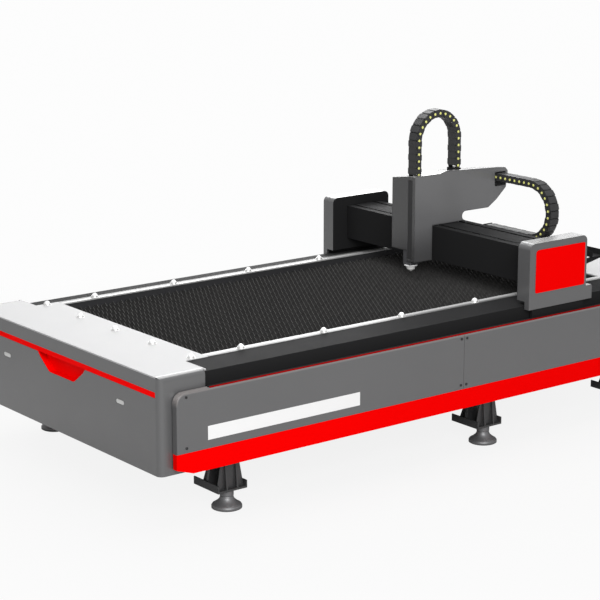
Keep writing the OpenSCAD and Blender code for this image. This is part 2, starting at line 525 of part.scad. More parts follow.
// inner plates with the opening for the beam and its cover
module housing_backs() color("black") pair() difference() {
    ext_y(hous_in, hous_in + 3) hous_xz(0);
    rail_room();
    bx(bcx0 - e, bcx1 + e, hous_in - 1, hous_in + 4, bcz0 - e, bcz1 + e);
}
module housing_plates() color("red") pair() ext_y(hous_out, hous_out + 3) rr(hx0 + 52, hx1 - 19, hous_bot + 102, hous_top - 44, [10, 10, 10, 24]);
module y_rails() color("silver") for (x = [yr1, yr2]) translate([x, 0, beam_top]) ext_y(-yrail_end, yrail_end) rail2(yrail_w, ry_h);
module y_rack() color("gray") bx(bx1, yp_x - yp_r - gear_m - 0.6, -yrail_end, yrail_end, yp_z, yp_z + 20);
module chain_tray() color("black") {
    x0 = yc_x0 - 8; x1 = yc_x0 + chain_w + 8; z = ychain_z - chain_h/2 - e;
    // open channel under the lower run
    translate([0, 0, 0]) ext_y(tray_y0, tray_y1) polygon([[x0 - 3, z - 3], [x1 + 3, z - 3], [x1 + 3, z + 36], [x1, z + 36], [x1, z], [x0, z], [x0, z + 36], [x0 - 3, z + 36]]);
    // fixed end of the lower run
    translate([yc_x, yc_end, ychain_z]) rotate([0, 0, -90]) rotate([0, 90, 0]) chain_ears(6);
    // braces from the beam tube
    for (i = [0:4]) let (y = tray_y0 + 18 + i*(tray_y1 - tray_y0 - 36)/4) ext_y(y - 4, y + 4) polygon([[bx1, beam_z + 10], [bx1 + 14, beam_z + 10], [x1 + 3, z - 14], [x1 + 3, z - 3], [x0 - 3, z - 3], [bx1, beam_z + 50]]);
}

// ---- carriage ----
module carriage_frame() color("dimgray") {
    bx(fpx0, fpx1, py0, py1, plate_z0, plate_z1);
    bx(fpx1, br_x1, py0, py1, bridge_z, bridge_z + bridge_t);
    // pads on the blocks and risers through the slots
    for (x = [yr1, yr2], y = [py0 + 32, py1 - 32]) {
        bx(x - 15, x + 15, y - 28, y + 28, beam_top + yblock_h, beam_top + yblock_h + 10);
        bx(x - slot_w/2 + 4, x + slot_w/2 - 4, y - 28, y + 28, beam_top + yblock_h + 10, bridge_z);
    }
    // ribs between front plate and bridge
    for (y = [py0, py1 - 10]) ext_y(y, y + 10) polygon([[fpx1, bridge_z + bridge_t], [fpx1 + 120, bridge_z + bridge_t], [fpx1, plate_z1]]);
    // rear post and motor plate
    for (y = [py0, py1 - 10]) bx(yr2 - 32, br_x1, y, y + 10, bridge_z + bridge_t, arm_z + 10);
    difference() {
        bx(yr2 - 32, yp_x + 50, py0, py1, arm_z + 10, arm_z + 22);
        translate([yp_x, car_y, arm_z]) cylinder(d = 26, h = 40);
    }
    // Z motor shelf
    difference() {
        bx(scr_x - 30, fpx1, car_y - 40, car_y + 40, plate_z1, plate_z1 + 12);
        translate([scr_x, car_y, plate_z1 - 1]) cylinder(d = 20, h = 14);
    }
    // screw bearings
    for (z = [plate_z0 + 2, plate_z1 - 22]) difference() {
        bx(scr_x - 11, fpx0, car_y - 20, car_y + 20, z, z + 18);
        translate([scr_x, car_y, z - 1]) cylinder(d = 12.1, h = 20);
    }
}
module y_blocks() color("silver") for (x = [yr1, yr2], y = [py0 + 32, py1 - 32]) translate([x, 0, beam_top]) ext_y(y - 30, y + 30) difference() {
    rr(-19, 19, 4, yblock_h, [3, 3, 0, 0]);
    translate([-yrail_w/2 - e, 0]) square([yrail_w + 2*e, ry_h + e]);
}
// side outline of the cover: front box, arm over the beam, round slot below the arm
module cover_xz(d) difference() {
    polygon([[cfx + d, deck_z + 80 - (d > 0 ? 1 : 0)], [fpx1 + 10 + (d > 0 ? 1 : 0), deck_z + 80 - (d > 0 ? 1 : 0)], [fpx1 + 10 + (d > 0 ? 1 : 0), bcz1 + 4 - (d > 0 ? 1 : 0)], [slot_x, bcz1 + 4 - (d > 0 ? 1 : 0)],
        [slot_x, arm_z + d], [head_x + 610, arm_z + d], [head_x + 686 - d*0.4, arm_z + 49 + d], [head_x + 769 - d, arm_z + 123 + d*0.4], [arm_x - d, car_top - 66], [arm_x - d*1.4, car_top - 44 - d*0.4], [head_x + 760 - d*0.6, car_top - 21 - d], [head_x + 679, car_top - 12 - d], [head_x + 222, car_top + 10 - d], [head_x + 170, car_top - 3 - d], [cfx + 6 + d*0.6, car_top - d], [cfx + d, car_top - 6 - d*0.6]]);
    translate([slot_x, bcz1 + 4 + slot_r]) circle(slot_r + d);
}
// space above the arm, over a roof that falls away from the near side; d is its depth below the roof
roof = [[cfx - 1, car_top], [head_x + 170, car_top - 3], [head_x + 222, car_top + 10], [head_x + 679, car_top - 12], [head_x + 760, car_top - 21], [arm_x + 1, car_top - 45]];
module roof_space(d) {
    ya = cy0 + 20; yb = cy1 + 1; fall = (yb - ya)*tan(9); n = len(roof) - 1;
    polyhedron(points = [for (p = roof) for (q = [[ya, p[1] - d], [ya, car_top + 80], [yb, car_top + 80], [yb, p[1] - d - fall]]) [p[0], q[0], q[1]]],
        faces = concat([[3, 2, 1, 0], [4*n, 4*n + 1, 4*n + 2, 4*n + 3]],
            [for (i = [0:n - 1], k = [0:3]) [4*i + k, 4*i + (k + 1)%4, 4*i + 4 + (k + 1)%4, 4*i + 4 + k]]));
}
module cover_body(d) difference() {
    ext_y(cy0 + d, cy1 - d) cover_xz(d);
    roof_space(d);
    // front lower edge is higher on the far part
    if (d == 0) bx(cfx - 1, fpx1 + 11, cy0 + 71, cy1 + 1, deck_z + 70, deck_z + 151);
}
slot_y0 = cy0 + 24; slot_y1 = cy0 + 68; slot_z0 = deck_z + 96; slot_z1 = car_top - 30;
module carriage_cover() color("gray") difference() {
    cover_body(0);
    cover_body(2.5);
    // slot in the front face
    bx(cfx - 1, cfx + 5, slot_y0, slot_y1, slot_z0, slot_z1);
    // chain openings
    bx(zlx - chain_h/2 - 6, zlx + chain_h/2 + 6, zc_y - chain_w/2 - 6, zc_y + chain_w/2 + 6, car_top - 60, car_top + 20);
    bx(yc_x0 - 8, yc_x0 + chain_w + 8, cy0 - 1, cy0 + 4, yc_up - chain_h/2 - yc_drop, yc_up + chain_h/2 + 8);
    translate([yp_x, car_y, arm_z - 1]) cylinder(d = 34, h = 5);
}
// dark band behind the slot
module slot_band() color("black") bx(cfx + 2.5, cfx + 4.5, slot_y0 - 6, slot_y1 + 6, slot_z0 - 6, slot_z1 + 6);
module z_rails() color("silver") for (y = [zr1, zr2]) translate([fpx0, y, plate_z0 + 4]) rotate([0, 0, 90]) linear_extrude(plate_z1 - plate_z0 - 8) rail2(yrail_w, ry_h);
module y_motor() color("black") {
    translate([yp_x, car_y, arm_z + 22]) { cylinder(d = 60, h = 40); bx(-35, 35, -35, 35, 40, 150); }
    translate([yp_x, car_y, yp_z + 20 + e]) cylinder(d = 22, h = arm_z + 2 - yp_z);
}
module z_motor() color("black") {
    bx(scr_x - 30, scr_x + 30, car_y - 30, car_y + 30, plate_z1 + 12, plate_z1 + 112);
}
// foot under the fixed leg of the standing loop and end bracket of the lying loop
module chain_foot() color("dimgray") {
    h = chain_h/2 + 2;
    intersection() {
        bx(zrx - h, zrx + h, zc_y - chain_w/2, zc_y + chain_w/2, car_top - 60, zr_z);
        roof_space(-e);
    }
    translate([zrx, zc_y, zr_p]) chain_ears(0);
    translate([yc_x, yc_in, yc_up]) rotate([0, 0, -90]) rotate([0, 90, 0]) chain_ears(6);
    bx(yc_x0 + 4, yc_x0 + chain_w - 4, yc_in + ear_h, yc_in + ear_h + 6, arm_z + 124, yc_up);
    bx(yc_x0 + 4, arm_x - 40, yc_in + ear_h, cy1 - 2.5, arm_z + 118, arm_z + 124);
}
module y_pinion() color("silver") translate([yp_x, car_y, yp_z]) { difference() { linear_extrude(20) rotate(9) gear2(yp_r, gear_m, 16); } }
module z_screw() color("silver") translate([scr_x, car_y, 0]) {
    translate([0, 0, plate_z0]) cylinder(d = 12, h = plate_z1 - plate_z0 + 12 - e);
}
// guided head
module head_slide() color("dimgray") {
    hz = hb_z0 + 38;
    difference() {
        bx(slx0, slx1, zr1 - 24, zr2 + 24, hz, hz + 184);
        for (y = [zr1, zr2], z = [hz + 60, hz + 124]) translate([slx0 - 1, y, z]) rotate([0, 90, 0]) cylinder(d = 9, h = sl_t + 2);
    }
    // screw nut
    difference() {
        bx(scr_x - 12, scr_x + 11, car_y - 18, car_y + 18, hz + 80, hz + 110);
        translate([scr_x, car_y, hz + 79]) cylinder(d = 12.6, h = 32);
    }
    bx(slx1, scr_x - 12, car_y - 14, car_y + 14, hz + 84, hz + 106);
    bx(head_x + head_w/2, slx0, head_y - 30, head_y + 30, hz + 10, hz + 174);
}
module z_blocks() color("silver") for (y = [zr1, zr2], z = [hb_z0 + 94, hb_z0 + 194]) translate([fpx0, y, z - 28]) rotate([0, 0, 90]) linear_extrude(56) difference() {
    rr(-18, 18, 4, yblock_h, [3, 3, 0, 0]);
    translate([-yrail_w/2 - e, 0]) square([yrail_w + 2*e, ry_h + e]);
}
module head_body() color("gray") translate([head_x, head_y, 0]) {
    w = head_w/2;
    translate([0, 0, hb_z0]) linear_extrude(150) rr(-w, w, -w, w, [8, 8, 8, 8]);
    translate([0, 0, hb_z0 + 150]) linear_extrude(120) rr(-w + 6, w, -w + 6, w - 6, [6, 6, 6, 6]);
    translate([0, 0, hb_z0 + 270]) cylinder(d = head_w - 16, h = 90);
    translate([0, 0, hb_z0 + 360]) cylinder(d = head_w - 34, h = hb_z1 - hb_z0 - 360);
}
module nozzle_flange() color("white") translate([head_x, head_y, hb_z0 - 8]) cylinder(d = flange_d, h = 8);
module nozzle() color("white") translate([head_x, head_y, tip0]) rotate_extrude() difference() {
    polygon(concat([[0, 0], [4, 0], [8, 3]], [for (a = [0:15:90]) [holder_d/2 - 16 + 16*sin(a), 24 - 16*cos(a)]], [[holder_d/2, 40], [0, 40]]));
    polygon([[-1, -1], [1, -1], [1, 4], [6, 24], [-1, 24]]);
}
module chain_arm() color("dimgray") {
    x = head_x + head_w/2 - 18;
    translate([zlx, zc_y, zl_z]) chain_ears(6);
    bx(x, x + 6, zc_y - 34, zc_y + 34, hb_z1, zl_z - ear_h);
    bx(head_x - 19, x + 1, zc_y - 15, zc_y + 21, hb_z1, hb_z1 + 6);
}

// ---- cable chains ----
// point and heading on a loop: straight a, half turn of radius r, straight b
function loop(s, a, r) = s < a ? [0, s] : s < a + PI*r ? let (t = (s - a)/r*180/PI) [r - r*cos(t), a + r*sin(t)] : [2*r, a - (s - a - PI*r)];
// links of the loop; part 0 is all of it, 1 the first straight run, 2 the half turn, 3 the last straight run
module chain(a, r, b, part) {
    len = a + PI*r + b; n = 2*round((len/link_l - 1)/2) + 1; p = len/n;
    for (i = [0:n - 1]) let (m = (i + 0.5)*p, k = m < a ? 1 : m < a + PI*r ? 2 : 3) if (part == 0 || part == k) let (q0 = loop(i*p, a, r), q1 = loop((i + 1)*p, a, r), d = q1 - q0) translate([q0[0], 0, q0[1]]) rotate([0, -atan2(d[1], d[0]), 0]) link(norm(d), i % 2);
}
// one link from pin to pin along X; k = 0 has the outer plates with pin holes, k = 1 the inner plates with pins
module link(l, k) {
    y1 = chain_w/2 - k*(link_t + e); y0 = y1 - link_t;
    for (s = [0, 1]) mirror([0, s, 0]) {
        ext_y(y0, y1) difference() {
            union() { translate([0, -ear_r]) square([l, 2*ear_r]); for (x = [0, l]) translate([x, 0]) circle(ear_r); translate([l*0.09, -chain_h/2]) square([l*0.82, chain_h]); }
            if (k == 0) for (x = [0, l]) translate([x, 0]) circle(d = pin_d + 2*e, $fn = 24);
        }
        if (k == 1) for (x = [0, l]) translate([x, y0, 0]) rotate([-90, 0, 0]) cylinder(d = pin_d, h = 2*link_t + e + 1, $fn = 24);
    }
    // closed lids inside and outside the bend
    for (z = [-chain_h/2, chain_h/2 - 4]) bx(l*0.09, l*0.91, -y0 - 0.5, y0 + 0.5, z, z + 4);
}
// ears and pins that hold an end link, on a plate of thickness t; the chain leaves along +Z
module chain_ears(t) {
    y1 = chain_w/2 - link_t - e; y0 = y1 - link_t;
    for (s = [0, 1]) mirror([0, s, 0]) {
        bx(-ear_r, ear_r, y0, y1, -ear_h - min(t, 1), 0);
        translate([0, y0, 0]) rotate([-90, 0, 0]) { cylinder(r = ear_r, h = link_t, $fn = 32); cylinder(d = pin_d, h = 2*link_t + e + 1, $fn = 24); }
    }
    if (t > 0) bx(-chain_h/2, chain_h/2, -chain_w/2, chain_w/2, -ear_h - t, -ear_h);
}
module z_chain() color("black") translate([zlx, zc_y, zl_z]) chain(zchain_leg, zchain_r, zc_top - zr_p, 0);
module y_chain_at(part) translate([yc_x, yc_in, yc_up]) rotate([0, 0, -90]) rotate([0, 90, 0]) chain(yc_in - ychain_y, ychain_r, yc_end - ychain_y, part);
module y_chain_moving() color("black") y_chain_at(1);
module y_chain_bend() color("black") y_chain_at(2);
module y_chain_fixed() color("black") y_chain_at(3);

side_tubes();
cross_members();
edge_tubes();
foot_brackets();
foot_studs();
foot_nuts();
bell_feet();
panel_mounts();
side_panels();
skirts();
top_trims();
panel_screws();
front_cover();
front_insert();
rear_cover();
front_deck();
rear_deck();
edge_strips();
rail_covers();
ball_cups();
transfer_balls();
slats();
slat_combs();
slag_trays();
x_rails();
x_racks();
end_stops();
beam();
beam_covers();
gantry_legs();
x_blocks();
x_motors();
housings();
housing_backs();
housing_plates();
y_rails();
y_rack();
chain_tray();
x_pinion_near();
x_pinion_far();
carriage_frame();
y_blocks();
carriage_cover();
slot_band();
z_rails();
y_motor();
z_motor();
chain_foot();
y_pinion();
z_screw();
y_chain_moving();
y_chain_bend();
y_chain_fixed();
z_chain();
head_slide();
z_blocks();
head_body();
nozzle_flange();
nozzle();
chain_arm();
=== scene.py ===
# %% [markdown]
# # An open flatbed laser cutting machine
# A long bed on six levelling feet carries a pit of saw-tooth slats. A gantry
# rolls along the bed, a carriage crosses the gantry, and the cutting head
# rises and drops on the carriage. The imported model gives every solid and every
# body. This script adds finishes, small repeated pieces, truer copies of a few
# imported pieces, and light.

# %% Load the frame
import json
import math

import bmesh
import bpy
import numpy as np
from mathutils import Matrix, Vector


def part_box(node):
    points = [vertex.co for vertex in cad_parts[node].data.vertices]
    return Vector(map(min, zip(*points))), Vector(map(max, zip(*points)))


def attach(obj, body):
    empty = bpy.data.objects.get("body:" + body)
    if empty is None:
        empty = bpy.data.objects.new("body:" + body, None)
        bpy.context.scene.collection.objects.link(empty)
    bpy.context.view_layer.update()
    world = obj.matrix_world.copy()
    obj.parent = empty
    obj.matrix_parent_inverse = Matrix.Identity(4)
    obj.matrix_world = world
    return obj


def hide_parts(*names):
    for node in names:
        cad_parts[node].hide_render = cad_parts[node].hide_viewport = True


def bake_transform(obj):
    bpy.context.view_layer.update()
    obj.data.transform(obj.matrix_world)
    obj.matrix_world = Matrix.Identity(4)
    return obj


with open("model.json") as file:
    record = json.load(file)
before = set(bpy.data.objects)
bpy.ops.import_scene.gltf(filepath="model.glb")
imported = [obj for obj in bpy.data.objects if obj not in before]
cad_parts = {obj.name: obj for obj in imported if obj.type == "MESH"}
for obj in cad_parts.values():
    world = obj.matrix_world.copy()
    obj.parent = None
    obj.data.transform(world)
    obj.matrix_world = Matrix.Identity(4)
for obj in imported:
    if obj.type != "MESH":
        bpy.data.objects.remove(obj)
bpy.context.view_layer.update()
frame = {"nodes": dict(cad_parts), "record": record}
nodes = frame["nodes"]

# %% [markdown]
# ## Sums on shader sockets
# A finish is a recipe of numbers that change over the surface. Written as
# plain sums, the recipe can be read. One class wraps a socket and turns each
# operator into a Math node, and one method makes every other kind of node.

# %% A socket that can be added and multiplied
class Value:
    """An output socket of a finish. Every sum on it makes a Math node."""

    def __init__(self, finish, socket):
        self.finish, self.socket = finish, socket

    def math(self, operation, *terms):
        return self.finish.node("ShaderNodeMath", {"operation": operation},
                                dict(enumerate(terms)))

    def __add__(self, other):
        return self.math("ADD", self, other)

    def __sub__(self, other):
        return self.math("SUBTRACT", self, other)

    def __rsub__(self, other):
        return self.math("SUBTRACT", other, self)

    def __mul__(self, other):
        return self.math("MULTIPLY", self, other)

    def __truediv__(self, other):
        return self.math("DIVIDE", self, other)

    def __rtruediv__(self, other):
        return self.math("DIVIDE", other, self)

    def __gt__(self, other):
        return self.math("GREATER_THAN", self, other)

    def __lt__(self, other):
        return self.math("LESS_THAN", self, other)

    __radd__, __rmul__ = __add__, __mul__

    def least(self, other):
        return self.math("MINIMUM", self, other)

    def most(self, other):
        return self.math("MAXIMUM", self, other)

    def root(self):
        return self.math("SQRT", self)

    def clamp(self):
        return self.finish.node("ShaderNodeClamp", {}, {0: self})


# %% A finish: one material and the method that makes its nodes
class Finish:
    """One material, its shader, and the coordinates of the object it is on."""

    def __init__(self, name):
        self.material = bpy.data.materials.new(name)
        self.material.use_nodes = True
        self.tree = self.material.node_tree
        self.shader = self.tree.nodes["Principled BSDF"]
        self.place = self.node("ShaderNodeTexCoord", out="Object")
        split = self.node("ShaderNodeSeparateXYZ", {}, {0: self.place}).socket.node
        self.x, self.y, self.z = (Value(self, s) for s in split.outputs)

    def node(self, kind, settings=None, inputs=None, out=0):
        """Makes a node, fills or links its inputs and returns one output."""
        made = self.tree.nodes.new(kind)
        for key, value in (settings or {}).items():
            if key == "stops":
                self.set_stops(made.color_ramp, value)
            else:
                setattr(made, key, value)
        for key, value in (inputs or {}).items():
            if isinstance(value, Value):
                self.tree.links.new(value.socket, made.inputs[key])
            else:
                made.inputs[key].default_value = value
        return Value(self, made.outputs[out])

    @staticmethod
    def set_stops(ramp, stops):
        """Gives a colour ramp its stops, each a position and a colour."""
        while len(ramp.elements) < len(stops):
            ramp.elements.new(0.5)
        for element, (at, colour) in zip(ramp.elements, stops):
            element.position, element.color = at, (*colour, 1)

    def feed(self, name, value):
        """Links a value to an input of the shader, or sets it to a number."""
        socket = self.shader.inputs[name]
        if isinstance(value, Value):
            self.tree.links.new(value.socket, socket)
        else:
            socket.default_value = value

    def noise(self, scale, detail, stretch=None):
        """Noise with a number of cells in a metre."""
        at = self.place
        if stretch:
            at = self.node("ShaderNodeMapping", {}, {"Vector": at, "Scale": stretch})
        return self.node("ShaderNodeTexNoise", {},
                         {"Vector": at, "Scale": scale, "Detail": detail})

    def blend(self, factor, first, second):
        """The first colour where the factor is 0, the second where it is 1."""
        first, second = (c if isinstance(c, Value) else (*c, 1) for c in (first, second))
        return self.node("ShaderNodeMix", {"data_type": "RGBA"},
                         {0: factor, 6: first, 7: second}, out=2)

    def colour(self):
        """What feeds the colour so far."""
        return Value(self, self.shader.inputs["Base Color"].links[0].from_socket)

    def relief(self, height, depth, edge=0.0):
        """Bumps of a depth in metres, on edges that are rounded to a radius."""
        inputs = {"Height": height, "Distance": depth, "Strength": 1.0}
        if edge:
            inputs["Normal"] = self.node("ShaderNodeBevel", {"samples": 4},
                                         {"Radius": edge})
        self.feed("Normal", self.node("ShaderNodeBump", {}, inputs))


def shade(colour, gain):
    """A colour made lighter or darker by one factor."""
    return tuple(min(1.0, c * gain) for c in colour)


print("shader helpers ready")

# %% [markdown]
# ## Painted steel
# Panels and covers are powder coated. The coat melts into a faint orange peel
# about a millimetre across, its colour drifts a little from spray pass to
# spray pass, and its gloss is lower where dust lies. A bevel in the normal
# rounds the folded edges, which catch a line of light on a real cover.

# %% Powder coat
# Cells of noise in a metre, for spray clouds, dust, specks and orange peel.
CLOUD, DUST, SPECK, PEEL = 1.7, 6.0, 420.0, 700.0
PEEL_DEEP = 0.00012


def painted(name, colour, rough, drift=0.07, edge=0.0015, coat=0.0, shine=0.5, form=None):
    """A form is a function of the finish that gives a height in metres."""
    f = Finish(name)
    f.feed("Specular IOR Level", shine)
    tint = f.noise(CLOUD, 2.0) * 0.8 + f.noise(SPECK, 2.0) * 0.2
    f.feed("Base Color", f.blend(tint, shade(colour, 1 - drift), shade(colour, 1 + drift)))
    spread = 0.12
    f.feed("Roughness", (f.noise(DUST, 4.0) * spread + (rough - spread / 2)).clamp())
    f.feed("Coat Weight", coat)
    f.feed("Coat Roughness", 0.22)
    bumps = f.noise(PEEL, 1.0)
    if form:
        f.relief(bumps * PEEL_DEEP + form(f), 1.0)
    else:
        f.relief(bumps, PEEL_DEEP, edge)
    return f


# %% [markdown]
# ## Bare metal
# Ground rails, plated fasteners and the bright edge strips are metal, so their
# colour is a reflection. The tool leaves fine lines along one direction. Noise
# that is stretched along that direction gives both the streaks in the gloss
# and the shallow grooves.

# %% Brushed and plated metal
BRUSH, STAIN = 260.0, 9.0  # cells of noise in a metre


def bare_metal(name, colour, rough, along=(1.0, 1.0, 1.0), depth=0.00003, metallic=1.0,
               edge=0.0006):
    """The noise is drawn out along the axis whose factor is small."""
    f = Finish(name)
    streak = f.noise(BRUSH, 3.0, along)
    stain = f.noise(STAIN, 4.0)
    f.feed("Base Color", f.blend(stain * 0.6 + streak * 0.4,
                                 shade(colour, 0.86), shade(colour, 1.1)))
    f.feed("Metallic", metallic)
    in_streak, in_stain = 0.16, 0.10
    middle = rough - (in_streak + in_stain) / 2
    f.feed("Roughness", (streak * in_streak + stain * in_stain + middle).clamp())
    f.relief(streak, depth, edge)
    return f


# %% [markdown]
# ## Scorched slats, with painted light in the pit
# The slats stand in the beam's way and burn with the sheet. Their lower part
# keeps mill scale, and towards the teeth they are dull, darker and spattered
# with slag. The low colour is also lighter than it would be, as painted light
# that fills the shade deep in the pit, and the tips are darker, partly as
# painted shade on the lit teeth. Height alone gives the change, and a coarse
# noise breaks its edge.

# %% Slats and slag trays
SMOKE, BEADS, PITS = 28.0, 230.0, 320.0  # cells of noise in a metre
BEAD_FROM = 0.64  # a bead of slag stands where its noise is above this


def scorch_and_painted_light(name, low, high, tip_z, reach):
    """The low colour turns into the high one over the last reach to the tips."""
    f = Finish(name)
    smoke = f.noise(SMOKE, 5.0)
    heat_and_painted_light = ((f.z - (tip_z - reach)) / reach + (smoke - 0.5) * 0.8).clamp()
    bead = f.noise(BEADS, 2.0) > BEAD_FROM
    f.feed("Base Color", f.blend(bead * 0.5, f.blend(heat_and_painted_light, low, high), shade(high, 0.45)))
    f.feed("Metallic", 0.1)
    f.feed("Specular IOR Level", 0.15)
    f.feed("Roughness", (smoke * 0.2 + 0.62).clamp())
    f.relief(f.noise(PITS, 4.0) + bead * 0.8, 0.0003)
    return f


# %% [markdown]
# ## Moulded plastic and rubber
# Chain links are nylon with a fine moulded grain. Rubber is darker, rougher
# and has no sparkle at all.

# %% Plastic and rubber
def moulded(name, colour, rough, grain=0.00006, scale=900.0):
    """Grain is the depth of the bumps, and scale their number in a metre."""
    f = Finish(name)
    cloud = f.noise(14.0, 3.0)
    f.feed("Base Color", f.blend(cloud, shade(colour, 0.8), shade(colour, 1.25)))
    spread = 0.14
    f.feed("Roughness", (cloud * spread + (rough - spread / 2)).clamp())
    f.relief(f.noise(scale, 2.0), grain)
    return f


# %% One finish for each material slot
GREY = (0.082, 0.082, 0.084)
RED = (0.78, 0.0, 0.0)
BLACK = (0.0155, 0.0155, 0.016)
slats_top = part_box("slats")[1].z
finishes = {
    "body_grey": painted("grey powder coat", GREY, 0.40, coat=1.0),
    "red_paint": painted("red gloss paint", RED, 0.5, drift=0.02, shine=0.01),
    "frame_paint": painted("dark frame paint", (0.028, 0.028, 0.030), 0.55, shine=0.3),
    "black_paint": painted("black satin paint", BLACK, 0.6, shine=0.04),
    "light_deck": painted("pale deck paint", (0.43, 0.43, 0.433), 0.6, drift=0.02,
                          shine=0.2),
    "motor_black": painted("motor enamel", (0.014, 0.014, 0.015), 0.36, edge=0.003),
    "bright_strip": bare_metal("brushed edge strip", (0.40, 0.40, 0.40), 0.42,
                               along=(0.02, 1.0, 1.0), metallic=0.2),
    "ground_steel": bare_metal("ground steel", (0.56, 0.57, 0.58), 0.28,
                               along=(0.03, 1.0, 1.0)),
    "zinc": bare_metal("zinc plate", (0.74, 0.74, 0.73), 0.36, metallic=0.7),
    "black_oxide": bare_metal("black oxide", (0.06, 0.06, 0.062), 0.42, metallic=0.8),
    "foot_iron": bare_metal("cast foot", (0.20, 0.20, 0.205), 0.5, depth=0.0001,
                            metallic=0.7, edge=0.002),
    # The trays' lighter low colour is painted light in the shaded gaps between the slats.
    "tray_steel": scorch_and_painted_light("slag tray steel", (0.10, 0.09, 0.085), (0.05, 0.05, 0.05),
                           tip_z=0.55, reach=0.1),
    # The slats' lighter low colour is painted light in their shade, and their dark tips are
    # partly painted shade.
    "slat_steel": scorch_and_painted_light("scorched slats", (0.085, 0.083, 0.081), (0.036, 0.0355, 0.035),
                           tip_z=slats_top, reach=0.05),
    "ball_steel": bare_metal("polished ball", (0.84, 0.84, 0.84), 0.2, metallic=0.15,
                             edge=0.0),
    "machined": bare_metal("machined aluminium", (0.60, 0.60, 0.62), 0.34,
                           along=(1.0, 0.03, 1.0)),
    "head_grey": bare_metal("anodised head", (0.16, 0.16, 0.17), 0.4, metallic=0.7,
                            edge=0.002),
    "head_white": moulded("white ceramic ring", (0.88, 0.88, 0.88), 0.28, scale=400.0),
    "nozzle_metal": bare_metal("nozzle", (0.95, 0.94, 0.92), 0.2, metallic=0.25, edge=0.0),
    "chain_plastic": moulded("nylon chain", (0.026, 0.026, 0.027), 0.45),
    "frame_stop": moulded("bumper rubber", (0.02, 0.02, 0.02), 0.75, grain=0.0002),
}
print(len(finishes), "finishes")

# %% [markdown]
# ## Putting the finishes on
# The record says which slot each node uses. The imported mesh keeps its own
# material slots, so the finish goes into every one of them.

# %% Assign a finish to every node
slot_of = {s["node"]: s["material_slot"] for s in frame["record"]["subparts"]}
for name, obj in nodes.items():
    finish = finishes[slot_of[name]].material
    if not obj.material_slots:
        obj.data.materials.append(finish)
    for slot in obj.material_slots:
        slot.material = finish
print("finished", len(nodes), "nodes")

# %% [markdown]
# ## Finishes of single nodes
# Some nodes differ from the rest of their slot. The band on the carriage's side
# is greyer than the black paint, and the channel in the front cover is painted a
# brighter red than the skirts, as painted light in the shade of its recess.

# %% Carriage band and front channel
def dress(node, finish):
    """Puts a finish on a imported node."""
    for slot in nodes[node].material_slots:
        slot.material = finish.material


dress("slot_band", painted("slot paint", (0.036, 0.036, 0.037), 0.5, shine=0.2))
# Painted light: the recessed channel gets full red to make up for its shade.
dress("front_insert", painted("bright red paint", (1.0, 0.0, 0.0), 0.5, drift=0.0, shine=0.02))
print("dressed slot_band and front_insert")

# %% [markdown]
# ## Edge strips
# The strips are bright along the pit and painted darker outside, as painted shade
# under the lip of the rail covers. The distance across a strip gives the change.
# It starts a little before the middle and is over at four fifths of the way.

# %% Edge strips, bright along the pit, with painted shade outside
SHADE_SLOPE, SHADE_SHIFT = 3.0, 1.4
f = finishes["bright_strip"]
near_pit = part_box("slats")[1].y
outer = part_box("edge_strips")[1].y
across = ((f.y * f.y).root() - near_pit) / (outer - near_pit)
# Painted shade: the outer part of each strip is painted dark grey, under the rail cover's lip.
strip_shade = (across * SHADE_SLOPE - SHADE_SHIFT).clamp()
f.feed("Base Color", f.blend(strip_shade, f.colour(), (0.10, 0.10, 0.10)))
print("strip from", round(near_pit, 4), "to", round(outer, 4))

# %% [markdown]
# ## The carriage's coat
# Painted shade darkens the lower part of the carriage cover, so the coat gets
# lighter upward, in a smooth step. Its front face is dark.

# %% Carriage coat, with a dark front face and painted shade low down
# How far over the cover's lower edge the step of painted shade starts, its share
# of the cover's height, and how deep the dark front reaches in.
SHADE_STEP_UP, SHADE_STEP_SHARE, FACE_DEEP = 0.02, 0.42, 0.001
f = painted("carriage coat", GREY, 0.40, coat=1.0, edge=0.012)
lo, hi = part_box("carriage_cover")
# Painted shade: the coat is darker low down and lighter upward.
shade_to_light = ((f.z - (lo.z + SHADE_STEP_UP)) / (SHADE_STEP_SHARE * (hi.z - lo.z))).clamp()
shade_to_light = shade_to_light * shade_to_light * (3 - 2 * shade_to_light)
coat = f.blend(shade_to_light, shade(GREY, 0.85), shade(GREY, 1.62))
f.feed("Base Color", f.blend(f.x < lo.x + FACE_DEEP, coat, (0.044, 0.044, 0.045)))
dress("carriage_cover", f)
print("front face of the carriage at x", round(lo.x, 4))

# %% [markdown]
# ## Side panels
# Each long side carries one plain white band near the front, printed on the
# grey coat. Its place is a box in the machine's own coordinates, so a mask of
# four comparisons paints it without any picture. The panels are folded round
# along their ends and top edge. The distance inward from that outline gives the
# round of the fold, and near the top a painted highlight: a line of lighter
# colour where the fold catches the light.

# %% Grey coat with a rounded rim, a painted highlight on it and a white band
BAND = dict(x0=-1.815, x1=-0.737, z0=0.470, z1=0.550)
# Width of the painted highlight, how far below the top edge it starts, the height
# over which it grows, and the share of its colour where it is strongest.
RIM_WIDE, RIM_DROP, RIM_FADE, RIM_SHARE = 0.014, 0.075, 0.04, 0.9


def inward(f, corner=0.060):
    """Distance in from the panel's ends and top edge, round its upper corners."""
    lo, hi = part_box("side_panels")
    from_end = (f.x - lo.x).least(hi.x - f.x)
    from_top = hi.z - f.z
    u = (corner - from_end).most(0.0)
    w = (corner - from_top).most(0.0)
    return (corner - (u * u + w * w).root()).most(0.0)


def rounded_rim(f, fold=0.013):
    """Height of a panel whose top edge and ends are folded to a quarter round."""
    short = (fold - inward(f)).most(0.0)
    return (fold * fold - short * short).most(0.0).root()


